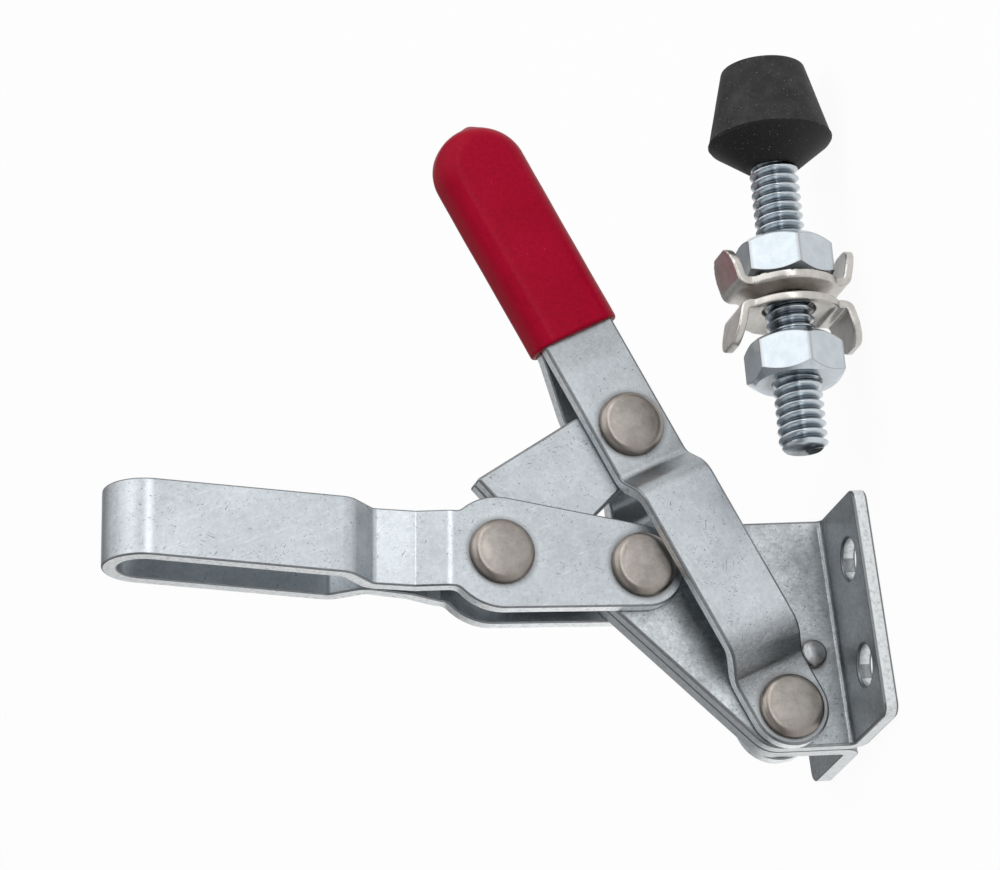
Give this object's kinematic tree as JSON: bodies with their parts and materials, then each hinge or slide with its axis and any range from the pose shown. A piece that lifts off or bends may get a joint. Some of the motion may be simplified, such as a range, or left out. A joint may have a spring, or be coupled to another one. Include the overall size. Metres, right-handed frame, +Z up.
{
  "type": "vertical handle toggle clamp",
  "caption": "Flanged-base vertical handle toggle clamp, open, with slotted U-bar arm, red dipped grip and a separate rubber-tipped threaded spindle.",
  "frame": {"origin": "centre of the base's bolt pattern, on the mounting face", "axes": "+Z up from the mounting face, +X forward to the clamping side, +Y to the left"},
  "size_m": [0.0851, 0.043, 0.0959],
  "materials": {
    "zinc_sheet": "zinc plated sheet, satin",
    "rivet_nickel": "satin nickel",
    "stop_steel": "dark zinc",
    "grip_vinyl": "satin dipped vinyl",
    "tip_rubber": "matt moulded rubber",
    "fastener_zinc": "bright blue zinc",
    "washer_nickel": "bright nickel"
  },
  "bodies": {
    "base": {"base_plate_left": "zinc_sheet", "base_plate_right": "zinc_sheet", "handle_pivot_rivet": "rivet_nickel", "stop_rivet": "stop_steel", "spindle_stud": "fastener_zinc", "spindle_tip": "tip_rubber", "flanged_washer_upper": "washer_nickel", "flanged_washer_lower": "washer_nickel"},
    "handle": {"handle_plate_left": "zinc_sheet", "handle_plate_right": "zinc_sheet", "grip": "grip_vinyl", "handle_link_rivet": "rivet_nickel"},
    "arm": {"arm": "zinc_sheet", "link_arm_rivet": "rivet_nickel", "arm_pivot_rivet": "rivet_nickel"},
    "link": {"link_plate_left": "zinc_sheet", "link_plate_right": "zinc_sheet"},
    "upper_nut": {"spindle_nut_upper": "fastener_zinc"},
    "lower_nut": {"spindle_nut_lower": "fastener_zinc"}
  },
  "joints": [
    {"name": "handle_pivot", "type": "hinge", "parent": "base", "child": "handle", "pos_m": [0.01025, 0, 0.01025], "axis": [0, 1, 0], "range_deg": [0, 67.5]},
    {"name": "link_pivot", "type": "hinge", "parent": "handle", "child": "link", "pos_m": [-0.02799, 0, 0.02612], "axis": [0, 1, 0], "range_deg": [0, 74.44]},
    {"name": "arm_pivot", "type": "hinge", "parent": "link", "child": "arm", "pos_m": [-0.01158, 0, 0.04545], "axis": [0, 1, 0], "range_deg": [-42.13, 0]},
    {"name": "upper_nut_travel", "type": "slide", "parent": "base", "child": "upper_nut", "axis": [0.9992, 0, 0.0396], "range_m": [-0.01, 0.0002]},
    {"name": "lower_nut_travel", "type": "slide", "parent": "base", "child": "lower_nut", "axis": [0.9992, 0, 0.0396], "range_m": [-0.003, 0.0085]}
  ],
  "couplings": [
    {"joint": "link_pivot", "follows": "handle_pivot", "ratio": 1.1026},
    {"joint": "arm_pivot", "follows": "handle_pivot", "ratio": -0.6238}
  ]
}
